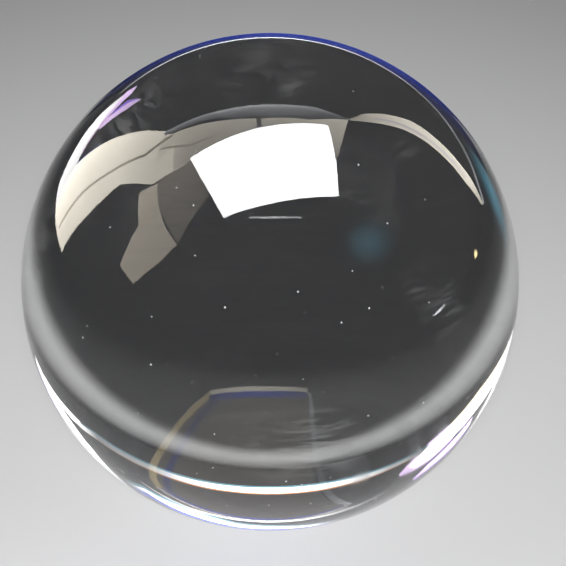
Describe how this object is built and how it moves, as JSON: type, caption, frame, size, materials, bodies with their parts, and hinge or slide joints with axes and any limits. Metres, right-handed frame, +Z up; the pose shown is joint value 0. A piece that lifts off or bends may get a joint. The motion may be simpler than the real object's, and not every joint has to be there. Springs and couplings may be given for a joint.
{
  "type": "crystal ball",
  "caption": "Solid sphere of clear, colourless optical glass, polished all over, for stage magic, fortune telling, contact juggling and display.",
  "frame": {"origin": "the point that the ball stands on, at the bottom middle of the sphere", "axes": "+Z up through the centre of the sphere, +Y away from the viewer, +X to the viewer's right; the sphere is alike about every axis"},
  "size_m": [0.1, 0.1, 0.1],
  "materials": {
    "glass": "polished"
  },
  "bodies": {
    "root": {"ball": "glass"}
  },
  "joints": []
}
